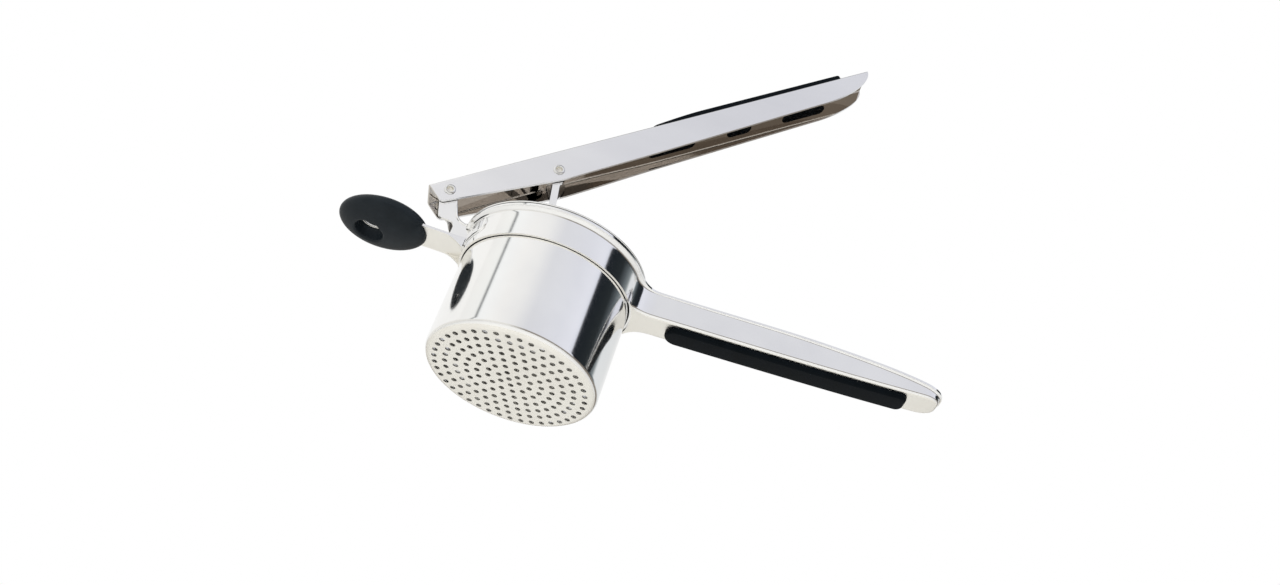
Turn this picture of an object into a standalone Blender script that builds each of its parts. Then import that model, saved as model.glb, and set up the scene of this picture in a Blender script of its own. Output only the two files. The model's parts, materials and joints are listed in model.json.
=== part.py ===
"""Potato ricer: a perforated hopper in a long-handled frame, with a lever that drives a plunger.

Metres, +Z up. The hopper stands on its perforated base at z = 0, the two handles run towards +X,
and the origin is at the bottom centre of the whole object's box. Every length below is given in
millimetres times MM, measured from the hopper's own axis.
"""
import math

import bmesh
import bpy
from mathutils import Vector

MM = 0.001
GAP = 0.3 * MM                        # space between pieces that touch

# Hopper: a drawn cup with a perforated base and a flange that rests on the frame's lip
HOPPER_RADIUS = 40.0 * MM
HOPPER_WALL = 0.7 * MM
RIM_Z = 65.6 * MM                     # top of the hopper's flange
HOPPER_CORNER = 3.5 * MM
FLANGE_REACH = 3.97 * MM              # how far the flange stands out past the hopper's wall
HOLE_RINGS = 7
HOLE_RADIUS = 1.27 * MM
HOLE_SIDES = 6
HOLE_MARGIN = 5.2 * MM                # outer ring of holes to the hopper's wall
HOLE_TURN = math.radians(15.0)
TURNED_STEPS = 72

# Frame: a collar round the hopper, drawn out at the rear into a channel for the hand
SHEET = 1.2 * MM
COLLAR_HEIGHT = 16.1 * MM
LIP_FLARE = 2.3 * MM
LIP_HEIGHT = 2.6 * MM
LOWER_HANDLE_REACH = 188.0 * MM       # hopper axis to the tip of the lower handle
LOWER_HALF_WIDTH = 8.0 * MM
LOWER_FILLET = 14.0 * MM              # plan radius between collar and handle
LOWER_TIP_ROUND = 9.0 * MM
LOWER_TIP_SQUARE = 0.6                # below 1, the tip's plan is squarer than an ellipse
LOWER_ROOT_DEPTH = 16.4 * MM          # underside of the channel below the rim, at the collar
LOWER_TIP_DEPTH = 8.5 * MM            # the same at the tip
LOWER_TOP_DROP = 1.9 * MM             # top edge of the channel below the rim, at the collar
LOWER_TOP_RISE = 2.4 * MM             # how far that edge arches up
LOWER_TOP_CREST = 0.62                # where it is highest, as a share of the handle
LOWER_TIP_FALL = 4.4 * MM             # how far it falls again at the tip

# Lower grip: a soft pad under the channel
LOWER_GRIP_START = 17.0 * MM          # past the collar
LOWER_GRIP_TIP_MARGIN = 15.0 * MM     # short of the handle's tip
LOWER_GRIP_INSET = 2.0 * MM
LOWER_GRIP_THICK = 2.7 * MM

# Lever: an inverted channel hinged at the front, pressed down on the plunger
LEVER_ANGLE = math.radians(41.02)
LEVER_LENGTH = 244.4 * MM
LEVER_WIDTH = 16.3 * MM
LEVER_FOLD = 1.5 * MM
LEVER_NOSE_SLANT = 1.3 * MM
LEVER_NOSE_DEPTH = 11.3 * MM
LEVER_NOSE_ROUND = 2.5 * MM
LEVER_BELLY_DEPTH = 16.95 * MM
LEVER_TAIL_DEPTH = 12.6 * MM
LEVER_TAIL_ROUND = 36.0 * MM
PIVOT_FORWARD = 16.1 * MM             # front pivot ahead of the collar's wall
PIVOT_ABOVE_RIM = 14.9 * MM
PIVOT_FROM_NOSE = 8.1 * MM
PIVOT_DEPTH = 6.2 * MM                # front pivot below the lever's top face
PLUNGER_PIVOT_X = -14.0 * MM
PLUNGER_PIVOT_DEPTH = 11.1 * MM
CLOSE_ANGLE = math.radians(40.0)      # lever travel from rest to fully pressed
PLUNGER_TURN = 0.235                  # plunger turn for each degree of lever turn

# Upper grip: a soft pad on the lever, keyed through three slots
UPPER_GRIP_START = 116.0 * MM
UPPER_GRIP_END = 229.0 * MM
UPPER_GRIP_RAMP = 32.0 * MM
UPPER_GRIP_THICK = 3.2 * MM
UPPER_GRIP_LEADING = 0.8 * MM         # height of the pad's front edge
UPPER_GRIP_ROUND = 1.2 * MM
UPPER_GRIP_INSET = 1.6 * MM
SLOT_WIDTH = 6.1 * MM
SLOTS = ((118.2 * MM, 145.2 * MM), (164.0 * MM, 178.6 * MM), (197.5 * MM, 223.6 * MM))

# Hollow rivets
RIVET_RADIUS = 2.1 * MM
RIVET_BORE = 1.65 * MM
RIVET_HEAD_RADIUS = 2.85 * MM
RIVET_HEAD_HEIGHT = 0.9 * MM
RIVET_STEPS = 24

# Front bracket, rest arm and knob
EYE_WEB_GAP = 0.4 * MM
EAR_SIDE_PLAY = 0.35 * MM             # ears to the inside of the lever's cheeks
EAR_REAR_FILLET = 7.0 * MM            # rear edge of the ears, from the rim up to the pivot
EAR_CORNER_BACK = 2.0 * MM            # middle of the ears' lower front corner, behind the pivot
EAR_CORNER_DROP = 12.8 * MM           # and below it
EAR_CORNER_ROUND = 2.7 * MM
EAR_NECK = 8.0 * MM                   # front edge of the ears' neck, ahead of the collar
EAR_NECK_ROUND = 3.0 * MM
ARM_TONGUE_DROP = 9.2 * MM            # underside of the arm's flat plate below the rim
ARM_ROOT_DROP = 13.6 * MM             # lower edge of the arm's side flanges, at the collar
ARM_FLANGE_REACH = 10.0 * MM          # the side flanges reach this far ahead of the collar
ARM_TONGUE_END = 34.5 * MM
ARM_STEPS = 8
KNOB_FORWARD = 39.0 * MM              # knob centre ahead of the collar
KNOB_DROP = 9.3 * MM                  # knob centre below the rim
KNOB_LENGTH = 42.3 * MM
KNOB_WIDTH = 34.0 * MM
KNOB_HEIGHT = 16.1 * MM
KNOB_TILT = math.radians(2.9)
KNOB_HOLE_RADIUS = 6.75 * MM
KNOB_HOLE_OFFSET = 4.9 * MM           # hanging hole ahead of the knob's centre

# Plunger
DISC_CLEARANCE = 3.1 * MM
DISC_SHEET = 1.3 * MM
DISC_RIM = 4.5 * MM
DISC_RIM_TAPER = 0.4 * MM
DISC_CORNER = 1.0 * MM
DISC_CLOSED_X = -2.0 * MM
DISC_FLOOR_GAP = 2.0 * MM
STEM_SIDE_PLAY = 0.45 * MM            # stem to the inside of the lever's cheeks
STEM_DEPTH = 3.4 * MM
STEM_EYE_RADIUS = 4.6 * MM
STEM_NECK = 9.0 * MM                  # eye centre to the top of the stem's straight part
STEM_FOOT = 9.0 * MM

# Derived places, all from the hopper's axis
COLLAR_INNER = HOPPER_RADIUS + GAP
COLLAR_RADIUS = COLLAR_INNER + SHEET
LIP_Z = RIM_Z - HOPPER_WALL - GAP
COLLAR_BOTTOM = LIP_Z - COLLAR_HEIGHT + GAP
KNOB_X = -(COLLAR_RADIUS + KNOB_FORWARD)
PIVOT_X = -(COLLAR_RADIUS + PIVOT_FORWARD)
PIVOT_Z = RIM_Z + PIVOT_ABOVE_RIM
ALONG = Vector((math.cos(LEVER_ANGLE), 0.0, math.sin(LEVER_ANGLE)))
ABOVE = Vector((-math.sin(LEVER_ANGLE), 0.0, math.cos(LEVER_ANGLE)))
PIVOT = Vector((PIVOT_X, 0.0, PIVOT_Z))
PIVOT_DROP = PLUNGER_PIVOT_DEPTH - PIVOT_DEPTH
PIVOT_SPAN = (PLUNGER_PIVOT_X - PIVOT_X - PIVOT_DROP * math.sin(LEVER_ANGLE)) / math.cos(LEVER_ANGLE)
PLUNGER_PIVOT = PIVOT + PIVOT_SPAN * ALONG - PIVOT_DROP * ABOVE
LEVER_INSIDE = LEVER_WIDTH / 2 - SHEET
EAR_OUTSIDE = LEVER_INSIDE - EAR_SIDE_PLAY
STEM_HALF_WIDTH = LEVER_INSIDE - STEM_SIDE_PLAY
FRONT_X = KNOB_X - KNOB_LENGTH / 2
AXIS_X = -(FRONT_X + LOWER_HANDLE_REACH) / 2


def new_material(name, color, roughness, metallic):
    material = bpy.data.materials.new(name)
    material.use_nodes = True
    shader = material.node_tree.nodes["Principled BSDF"]
    shader.inputs["Base Color"].default_value = (*color, 1.0)
    shader.inputs["Roughness"].default_value = roughness
    shader.inputs["Metallic"].default_value = metallic
    material.diffuse_color = (*color, 1.0)
    return material


def empty(name, location, turn=0.0, parent=None):
    """A guide on a joint axis; turn tips its X axis up towards Z."""
    guide = bpy.data.objects.new(name, None)
    guide.location = location
    guide.rotation_euler = (0.0, -turn, 0.0)
    guide.parent = parent
    guide.empty_display_size = 10 * MM
    parts.objects.link(guide)
    return guide


def add_object(name, mesh, parent, collection):
    piece = bpy.data.objects.new(name, mesh)
    piece.parent = parent
    collection.objects.link(piece)
    return piece


def finish(piece, material, sharp=35.0):
    """Give a finished part its material and smooth shading on its round stretches."""
    piece.data.materials.clear()
    piece.data.materials.append(material)
    piece.data.shade_smooth()
    piece.data.set_sharp_from_angle(angle=math.radians(sharp))
    return piece


def as_cutter(piece):
    piece.hide_render = True
    piece.display_type = "WIRE"
    return piece


def boolean(piece, other, operation="DIFFERENCE"):
    cut = piece.modifiers.new(other.name, "BOOLEAN")
    cut.operation = operation
    cut.solver = "EXACT"
    cut.object = other
    return cut


def outline(name, points, half, parent, collection, upright=True, shift=(0.0, 0.0, 0.0)):
    """A closed outline filled and extruded by half to each side, as a mesh.

    Upright outlines lie in XZ and are extruded along Y; the others lie in XY and rise along Z.
    """
    curve = bpy.data.curves.new(name, "CURVE")
    curve.dimensions = "2D"
    curve.fill_mode = "BOTH"
    curve.extrude = half
    spline = curve.splines.new("POLY")
    spline.points.add(len(points) - 1)
    for point, (across, up) in zip(spline.points, points):
        point.co = (across, up, 0.0, 1.0)
    spline.use_cyclic_u = True
    flat = bpy.data.objects.new(name + "_outline", curve)
    collection.objects.link(flat)
    flat.location = shift
    if upright:
        flat.rotation_euler = (math.pi / 2, 0.0, 0.0)
    bpy.context.view_layer.update()
    graph = bpy.context.evaluated_depsgraph_get()
    mesh = bpy.data.meshes.new_from_object(flat.evaluated_get(graph))
    mesh.transform(flat.matrix_world)
    bpy.data.objects.remove(flat)
    bpy.data.curves.remove(curve)
    work = bmesh.new()
    work.from_mesh(mesh)
    bmesh.ops.remove_doubles(work, verts=work.verts, dist=0.001 * MM)
    bmesh.ops.recalc_face_normals(work, faces=work.faces)
    work.to_mesh(mesh)
    work.free()
    mesh.name = name
    return add_object(name, mesh, parent, collection)


def cylinder(name, radius, low, high, parent, collection, center=(0.0, 0.0), steps=32, along_y=False):
    """A cylinder from low to high, upright at (x, y), or along Y at (x, z)."""
    work = bmesh.new()
    bmesh.ops.create_cone(work, cap_ends=True, segments=steps, radius1=radius, radius2=radius,
                          depth=high - low)
    mesh = bpy.data.meshes.new(name)
    work.to_mesh(mesh)
    work.free()
    piece = add_object(name, mesh, parent, collection)
    middle = (low + high) / 2
    if along_y:
        piece.rotation_euler = (math.pi / 2, 0.0, 0.0)
        piece.location = (center[0], middle, center[1])
    else:
        piece.location = (center[0], center[1], middle)
    return piece


def box(name, low, high, parent, collection):
    work = bmesh.new()
    bmesh.ops.create_cube(work, size=1.0)
    size = [b - a for a, b in zip(low, high)]
    bmesh.ops.scale(work, vec=size, verts=work.verts)
    bmesh.ops.translate(work, vec=[(a + b) / 2 for a, b in zip(low, high)], verts=work.verts)
    mesh = bpy.data.meshes.new(name)
    work.to_mesh(mesh)
    work.free()
    return add_object(name, mesh, parent, collection)


def turned(name, profile, parent, collection, closed=False, steps=TURNED_STEPS):
    """A profile of (radius, height) points turned about Z; it runs down its outer side."""
    mesh = bpy.data.meshes.new(name)
    edges = [(i, i + 1) for i in range(len(profile) - 1)]
    if closed:
        edges.append((len(profile) - 1, 0))
    mesh.from_pydata([(radius, 0.0, height) for radius, height in profile], edges, [])
    piece = add_object(name, mesh, parent, collection)
    screw = piece.modifiers.new("Turn", "SCREW")
    screw.axis = "Z"
    screw.angle = 2 * math.pi
    screw.steps = steps
    screw.render_steps = steps
    screw.use_merge_vertices = True
    screw.merge_threshold = 0.01 * MM
    screw.use_smooth_shade = True
    return piece


def arc(center, radius, start, end, steps):
    """Points on an arc in degrees, both ends included."""
    turn = [math.radians(start + (end - start) * i / steps) for i in range(steps + 1)]
    return [(center[0] + radius * math.cos(a), center[1] + radius * math.sin(a)) for a in turn]


def blend(low, high, share):
    return low + (high - low) * share


def lower_span(x):
    """Share of the way from the collar to the lower handle's tip."""
    return max(0.0, (x - COLLAR_RADIUS) / (LOWER_HANDLE_REACH - COLLAR_RADIUS))


def lower_underside(x):
    """Height of the lower handle's underside, curving up a little at the tip."""
    share = lower_span(x)
    return RIM_Z - blend(LOWER_ROOT_DEPTH, LOWER_TIP_DEPTH, 0.8 * share + 0.2 * share ** 4)


def lower_top(x):
    """Height of the lower handle's top edge, arched and dropping at the tip."""
    share = lower_span(x)
    rise = 0.5 - 0.5 * math.cos(math.pi * min(1.0, share / LOWER_TOP_CREST))
    return RIM_Z - LOWER_TOP_DROP + LOWER_TOP_RISE * rise - LOWER_TIP_FALL * min(1.0, share) ** 8


def arm_underside(x):
    """Lower edge of the rest arm's side flanges, which fade out into the flat tongue."""
    share = max(0.0, min(1.0, (-x - COLLAR_RADIUS) / ARM_FLANGE_REACH))
    return RIM_Z - blend(ARM_ROOT_DROP, ARM_TONGUE_DROP, math.sin(share * math.pi / 2))


def hopper():
    """A drawn cup: perforated base, straight wall and a flange that stands on the frame's lip."""
    inner = HOPPER_RADIUS - HOPPER_WALL
    inner_corner = HOPPER_CORNER - HOPPER_WALL
    flange = HOPPER_RADIUS + FLANGE_REACH
    under = RIM_Z - HOPPER_WALL
    profile = [(0.0, HOPPER_WALL)]
    profile += arc((inner - inner_corner, HOPPER_CORNER), inner_corner, -90, 0, 4)
    profile += [(inner, RIM_Z - HOPPER_WALL), (inner + HOPPER_WALL, RIM_Z)]
    profile += [(flange, RIM_Z), (flange, under)]
    profile += [(HOPPER_RADIUS, under)]
    profile += arc((HOPPER_RADIUS - HOPPER_CORNER, HOPPER_CORNER), HOPPER_CORNER, 0, -90, 4)
    profile += [(0.0, 0.0)]
    cup = turned("hopper", profile, root, parts)
    work = bmesh.new()
    pitch = (HOPPER_RADIUS - HOLE_MARGIN) / HOLE_RINGS
    centres = [Vector((0.0, 0.0, 0.0))]
    for ring in range(1, HOLE_RINGS + 1):
        for i in range(6 * ring):
            turn = HOLE_TURN + 2 * math.pi * i / (6 * ring)
            centres.append(Vector((ring * pitch * math.cos(turn), ring * pitch * math.sin(turn), 0.0)))
    for centre in centres:
        made = bmesh.ops.create_cone(work, cap_ends=True, segments=HOLE_SIDES, radius1=HOLE_RADIUS,
                                     radius2=HOLE_RADIUS, depth=4 * HOPPER_WALL)
        bmesh.ops.translate(work, vec=centre, verts=made["verts"])
    mesh = bpy.data.meshes.new("perforations")
    work.to_mesh(mesh)
    work.free()
    holes = as_cutter(add_object("perforations", mesh, root, cutters))
    boolean(cup, holes)
    finish(cup, steel)


def lower_plan(inset):
    """Plan outline of the lower handle: fillets off the collar, straight sides, round tip."""
    half = LOWER_HALF_WIDTH - inset
    fillet = LOWER_FILLET + inset
    ring = COLLAR_RADIUS - inset
    reach = math.sqrt((ring + fillet) ** 2 - (half + fillet) ** 2)
    meet = math.degrees(math.atan2(half + fillet, reach))
    tip = LOWER_HANDLE_REACH - inset
    tip_round = LOWER_TIP_ROUND - inset
    side = arc((reach, half + fillet), fillet, 180 + meet, 270, 6)
    corner = [(tip - tip_round + tip_round * math.sin(a), half * math.cos(a) ** LOWER_TIP_SQUARE)
              for a in [math.pi / 2 * i / 7 for i in range(7)]]
    upper = [(inset, side[0][1])] + side + corner
    return upper + [(tip, 0.0)] + [(x, -y) for x, y in reversed(upper)]


def side_band(low, high, start, end, steps=16):
    """Upright outline between two height functions of x."""
    xs = [blend(start, end, i / steps) for i in range(steps + 1)]
    return [(x, low(x)) for x in xs] + [(x, high(x)) for x in reversed(xs)]


def frame():
    """Collar with a flared lip, and the channel-shaped lower handle drawn out of it."""
    flare = COLLAR_RADIUS + LIP_FLARE
    lip_low = LIP_Z - LIP_HEIGHT
    outer = [(blend(COLLAR_RADIUS, flare, (i / 4) ** 2), blend(lip_low, LIP_Z - 0.6 * SHEET, i / 4))
             for i in range(4, -1, -1)]
    inner = [(COLLAR_INNER, COLLAR_BOTTOM), (COLLAR_INNER, lip_low)]
    inner += [(COLLAR_INNER + 0.35 * LIP_FLARE, LIP_Z)]
    profile = inner + [(flare, LIP_Z)] + outer + [(COLLAR_RADIUS, COLLAR_BOTTOM)]
    collar = as_cutter(turned("collar", profile, root, cutters, closed=True))
    tall = 1.5 * RIM_Z
    before = 0.5 * HOPPER_RADIUS
    end = LOWER_HANDLE_REACH + LOWER_TIP_ROUND
    body = outline("frame", lower_plan(0.0), tall, root, parts, upright=False)
    below = outline("lower_side", side_band(lower_underside, lambda x: 2 * tall, -before, end),
                    tall, root, cutters)
    boolean(body, as_cutter(below), "INTERSECT")
    hollow = outline("lower_hollow", lower_plan(SHEET), 1.1 * tall, root, cutters, upright=False)
    inside = outline("lower_inside", side_band(lambda x: lower_underside(x) + SHEET,
                                               lambda x: 3 * tall, -2 * before, end), tall, root, cutters)
    boolean(hollow, as_cutter(inside), "INTERSECT")
    boolean(body, as_cutter(hollow))
    trim = outline("lower_trim", side_band(lower_top, lambda x: 4 * tall, -before, end), tall, root, cutters)
    boolean(body, as_cutter(trim))
    bore = cylinder("collar_bore", COLLAR_INNER + 0.5 * SHEET, 0.0, 2 * tall, root, cutters,
                    steps=TURNED_STEPS)
    boolean(body, as_cutter(bore))
    boolean(body, collar, "UNION")
    finish(body, steel)


def lower_grip():
    """A stadium-shaped soft pad that follows the lower handle's underside."""
    start = COLLAR_RADIUS + LOWER_GRIP_START
    end = LOWER_HANDLE_REACH - LOWER_GRIP_TIP_MARGIN
    half = LOWER_HALF_WIDTH - LOWER_GRIP_INSET
    plan = arc((end - half, 0.0), half, -90, 90, 8) + arc((start + half, 0.0), half, 90, 270, 8)
    pad = outline("lower_grip", plan, RIM_Z, root, parts, upright=False)
    low = outline("grip_side", side_band(lambda x: lower_underside(x) - LOWER_GRIP_THICK - GAP,
                                         lambda x: lower_underside(x) - GAP, start - half, end + half),
                  RIM_Z, root, cutters)
    boolean(pad, as_cutter(low), "INTERSECT")
    finish(pad, soft)


def lever_outline():
    """Side outline of the lever in its own frame: X along the top face, Z out of it, pivot at 0."""
    belly = PIVOT_FROM_NOSE + PIVOT_SPAN
    tail = LEVER_LENGTH - LEVER_TAIL_ROUND
    round_at = (LEVER_NOSE_SLANT + LEVER_NOSE_ROUND, LEVER_NOSE_DEPTH - LEVER_NOSE_ROUND)
    nose = arc((round_at[0], -round_at[1]), LEVER_NOSE_ROUND, 180, 260, 4)
    end = arc((0.0, 0.0), 1.0, -90, 0, 8)
    sweep = [(tail + LEVER_TAIL_ROUND * x, LEVER_TAIL_DEPTH * z) for x, z in end]
    points = [(0.0, 0.0)] + nose + [(belly, -LEVER_BELLY_DEPTH)] + sweep
    return [(x - PIVOT_FROM_NOSE, z + PIVOT_DEPTH) for x, z in points]


def upper_handle():
    """An inverted channel with two rivet holes and three slots that key the grip."""
    lever = outline("upper_handle", lever_outline(), LEVER_WIDTH / 2, handle_pivot, parts)
    work = bmesh.new()
    work.from_mesh(lever.data)
    top = [edge for edge in work.edges if all(vert.co.z > PIVOT_DEPTH - 0.01 * MM for vert in edge.verts)
           and edge.verts[0].co.y * edge.verts[1].co.y > 0]
    bmesh.ops.bevel(work, geom=top, offset=LEVER_FOLD, segments=3, profile=0.5, affect="EDGES")
    work.to_mesh(lever.data)
    work.free()
    front = -PIVOT_FROM_NOSE - LEVER_WIDTH
    rear = LEVER_LENGTH + LEVER_WIDTH
    low = -2 * LEVER_BELLY_DEPTH
    inside = box("lever_inside", (front, -LEVER_INSIDE, low), (rear, LEVER_INSIDE, PIVOT_DEPTH - SHEET),
                 handle_pivot, cutters)
    boolean(lever, as_cutter(inside))
    plunger_hole = (PIVOT_SPAN, -PIVOT_DROP)
    for name, center in (("pivot_hole", (0.0, 0.0)), ("plunger_hole", plunger_hole)):
        hole = cylinder(name, RIVET_RADIUS + GAP, -LEVER_WIDTH, LEVER_WIDTH, handle_pivot, cutters,
                        center, RIVET_STEPS, along_y=True)
        boolean(lever, as_cutter(hole))
    for i, (start, end) in enumerate(SLOTS):
        slot = slot_prism("slot_%d" % (i + 1), start, end, SLOT_WIDTH, PIVOT_DEPTH - 3 * SHEET,
                          PIVOT_DEPTH + SHEET, cutters)
        boolean(lever, as_cutter(slot))
    finish(lever, steel)


def slot_prism(name, start, end, width, low, high, collection):
    """A stadium prism standing across the lever's top face."""
    radius = width / 2
    plan = arc((end - radius, 0.0), radius, -90, 90, 6) + arc((start + radius, 0.0), radius, 90, 270, 6)
    middle = (low + high) / 2
    return outline(name, plan, (high - low) / 2, handle_pivot, collection, upright=False,
                   shift=(-PIVOT_FROM_NOSE, 0.0, middle))


def upper_grip():
    """A soft pad on the lever's top face with a ramped front and three keys through the slots."""
    base = GAP
    top = UPPER_GRIP_THICK + GAP
    side = [(UPPER_GRIP_START, base), (UPPER_GRIP_END, base)]
    side += [(UPPER_GRIP_END, top - UPPER_GRIP_ROUND), (UPPER_GRIP_END - UPPER_GRIP_ROUND, top)]
    side += [(UPPER_GRIP_START + UPPER_GRIP_RAMP, top), (UPPER_GRIP_START, base + UPPER_GRIP_LEADING)]
    points = [(x - PIVOT_FROM_NOSE, z + PIVOT_DEPTH) for x, z in side]
    pad = outline("upper_grip", points, LEVER_WIDTH / 2 - UPPER_GRIP_INSET, handle_pivot, parts)
    for i, (start, end) in enumerate(SLOTS):
        key = slot_prism("key_%d" % (i + 1), start + GAP, end - GAP, SLOT_WIDTH - 2 * GAP,
                         PIVOT_DEPTH - SHEET, PIVOT_DEPTH + GAP + 0.5 * UPPER_GRIP_THICK, cutters)
        boolean(pad, as_cutter(key), "UNION")
    finish(pad, soft)


def rivet(name, parent, center):
    """A hollow rivet with a rolled head outside each cheek of the lever."""
    cheek = LEVER_WIDTH / 2 + GAP
    tip = cheek + RIVET_HEAD_HEIGHT
    lead = 0.4 * RIVET_HEAD_HEIGHT
    upper = [(RIVET_BORE, tip - lead), (RIVET_RADIUS, tip), (RIVET_HEAD_RADIUS, tip - lead)]
    upper += [(RIVET_HEAD_RADIUS, cheek), (RIVET_RADIUS, cheek)]
    profile = upper + [(radius, -height) for radius, height in reversed(upper)]
    piece = turned(name, profile, parent, parts, closed=True, steps=RIVET_STEPS)
    piece.rotation_euler = (math.pi / 2, 0.0, 0.0)
    piece.location = (center[0], 0.0, center[1])
    finish(piece, steel)


def pivot_bracket():
    """Two ears for the front pivot, folded from one plate that lies against the collar."""
    back = -(COLLAR_RADIUS + GAP)
    lip_back = -(COLLAR_RADIUS + LIP_FLARE + GAP)
    eye = PIVOT_DEPTH - SHEET - EYE_WEB_GAP
    neck_x = -(COLLAR_RADIUS + EAR_NECK)
    foot_z = RIM_Z - ARM_TONGUE_DROP + SHEET + GAP
    points = [(back, foot_z), (back, LIP_Z - LIP_HEIGHT - 2 * GAP), (lip_back, LIP_Z - SHEET)]
    points += arc((lip_back, RIM_Z + EAR_REAR_FILLET), EAR_REAR_FILLET, -90, -160, 4)
    points += arc((PIVOT_X, PIVOT_Z), eye, -20, 200, 10)
    points += arc((PIVOT_X + EAR_CORNER_BACK, PIVOT_Z - EAR_CORNER_DROP), EAR_CORNER_ROUND, 200, 270, 4)
    neck_z = PIVOT_Z - EAR_CORNER_DROP - EAR_CORNER_ROUND - EAR_NECK_ROUND
    points += arc((neck_x - EAR_NECK_ROUND, neck_z), EAR_NECK_ROUND, 90, 0, 3)
    points += [(neck_x, foot_z)]
    ears = outline("pivot_bracket", points, EAR_OUTSIDE, root, parts)
    inside = box("between_ears", (2 * PIVOT_X, SHEET - EAR_OUTSIDE, 0.0),
                 (back - SHEET, EAR_OUTSIDE - SHEET, 2 * PIVOT_Z), root, cutters)
    boolean(ears, as_cutter(inside))
    hole = cylinder("ear_hole", RIVET_RADIUS + GAP, -LEVER_WIDTH, LEVER_WIDTH, root, cutters,
                    (PIVOT_X, PIVOT_Z), RIVET_STEPS, along_y=True)
    boolean(ears, as_cutter(hole))
    finish(ears, steel)


def rest_arm():
    """A flat tongue that holds the knob, with side flanges that deepen towards the collar."""
    back = -(COLLAR_RADIUS + GAP)
    start = -(COLLAR_RADIUS + ARM_FLANGE_REACH)
    end = -(COLLAR_RADIUS + ARM_TONGUE_END)
    tongue = RIM_Z - ARM_TONGUE_DROP
    half = EAR_OUTSIDE + GAP + SHEET
    points = [(end, tongue + SHEET), (back, tongue + SHEET)]
    for i in range(ARM_STEPS + 1):
        share = i / ARM_STEPS
        points.append((blend(back, start, share), arm_underside(blend(back, start, share))))
    points += [(end, tongue)]
    arm = outline("rest_arm", points, half, root, parts)
    hollow_points = [(2 * start, 0.0), (0.0, 0.0), (0.0, tongue), (2 * start, tongue)]
    hollow = outline("arm_hollow", hollow_points, half - SHEET, root, cutters)
    boolean(arm, as_cutter(hollow))
    finish(arm, steel)


def rest_knob():
    """A soft flattened knob with a hanging hole and a pocket for the arm's tongue."""
    work = bmesh.new()
    bmesh.ops.create_uvsphere(work, u_segments=36, v_segments=18, radius=0.5)
    bmesh.ops.scale(work, vec=(KNOB_LENGTH, KNOB_WIDTH, KNOB_HEIGHT), verts=work.verts)
    mesh = bpy.data.meshes.new("rest_knob")
    work.to_mesh(mesh)
    work.free()
    knob = add_object("rest_knob", mesh, root, parts)
    knob.location = (KNOB_X, 0.0, RIM_Z - KNOB_DROP)
    knob.rotation_euler = (0.0, -KNOB_TILT, 0.0)
    hole = cylinder("hanging_hole", KNOB_HOLE_RADIUS, 0.0, 2 * RIM_Z, root, cutters,
                    (KNOB_X - KNOB_HOLE_OFFSET, 0.0), 32)
    boolean(knob, as_cutter(hole))
    tongue = RIM_Z - ARM_TONGUE_DROP
    half = EAR_OUTSIDE + 2 * GAP + SHEET
    pocket = box("tongue_pocket", (-(COLLAR_RADIUS + ARM_TONGUE_END) - GAP, -half, tongue - GAP),
                 (0.0, half, tongue + SHEET + GAP), root, cutters)
    boolean(knob, as_cutter(pocket))
    finish(knob, soft)


def plunger_reach():
    """Plunger pivot to the underside of the disc, and the disc's shift along X, both when closed."""
    arm = PLUNGER_PIVOT - PIVOT
    turn = -CLOSE_ANGLE
    closed_x = PIVOT_X + math.cos(turn) * arm.x - math.sin(turn) * arm.z
    closed_z = PIVOT_Z + math.sin(turn) * arm.x + math.cos(turn) * arm.z
    return closed_z - HOPPER_WALL - DISC_FLOOR_GAP, DISC_CLOSED_X - closed_x


def plunger_disc():
    """A pressed dish that fills the hopper with running clearance."""
    reach, shift = plunger_reach()
    radius = HOPPER_RADIUS - HOPPER_WALL - DISC_CLEARANCE
    rim = radius - DISC_RIM_TAPER
    inner = rim - DISC_SHEET
    profile = [(0.0, DISC_SHEET), (inner - DISC_CORNER, DISC_SHEET), (inner, DISC_SHEET + DISC_CORNER)]
    profile += [(inner, DISC_RIM), (rim, DISC_RIM)]
    profile += [(radius, DISC_CORNER), (radius - DISC_CORNER, 0.0), (0.0, 0.0)]
    disc = turned("plunger_disc", profile, plunger_pivot, parts)
    disc.location = (shift, 0.0, -reach)
    finish(disc, steel)


def plunger_stem():
    """A channel-shaped stem: two eyes on the lever's rivet, and a foot on the disc."""
    reach, shift = plunger_reach()
    foot_z = -reach + DISC_SHEET + GAP
    left = -STEM_DEPTH / 2
    right = STEM_DEPTH / 2
    points = arc((0.0, 0.0), STEM_EYE_RADIUS, -20, 200, 12)
    points += [(left, -STEM_NECK), (left, foot_z), (right, foot_z), (right, -STEM_NECK)]
    stem = outline("plunger_stem", points, STEM_HALF_WIDTH, plunger_pivot, parts)
    wide = 2 * STEM_EYE_RADIUS
    cut = [(left + SHEET, foot_z - wide), (wide, foot_z - wide), (wide, wide), (-wide, wide)]
    cut += [(-wide, -STEM_NECK), (left + SHEET, -STEM_NECK)]
    inside = outline("stem_inside", cut, STEM_HALF_WIDTH - SHEET, plunger_pivot, cutters)
    boolean(stem, as_cutter(inside))
    hole = cylinder("stem_hole", RIVET_RADIUS + GAP, -LEVER_WIDTH, LEVER_WIDTH, plunger_pivot, cutters,
                    (0.0, 0.0), RIVET_STEPS, along_y=True)
    boolean(stem, as_cutter(hole))
    foot = box("stem_foot", (shift - STEM_FOOT, -STEM_HALF_WIDTH, foot_z),
               (shift + STEM_FOOT, STEM_HALF_WIDTH, foot_z + SHEET), plunger_pivot, cutters)
    boolean(stem, as_cutter(foot), "UNION")
    finish(stem, steel)


for old in list(bpy.data.objects):
    bpy.data.objects.remove(old)

parts = bpy.data.collections.new("potato_ricer")
cutters = bpy.data.collections.new("cutters")
bpy.context.scene.collection.children.link(parts)
bpy.context.scene.collection.children.link(cutters)

steel = new_material("polished_steel", (0.78, 0.78, 0.80), 0.12, 1.0)
soft = new_material("soft_black", (0.02, 0.024, 0.028), 0.5, 0.0)

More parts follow.
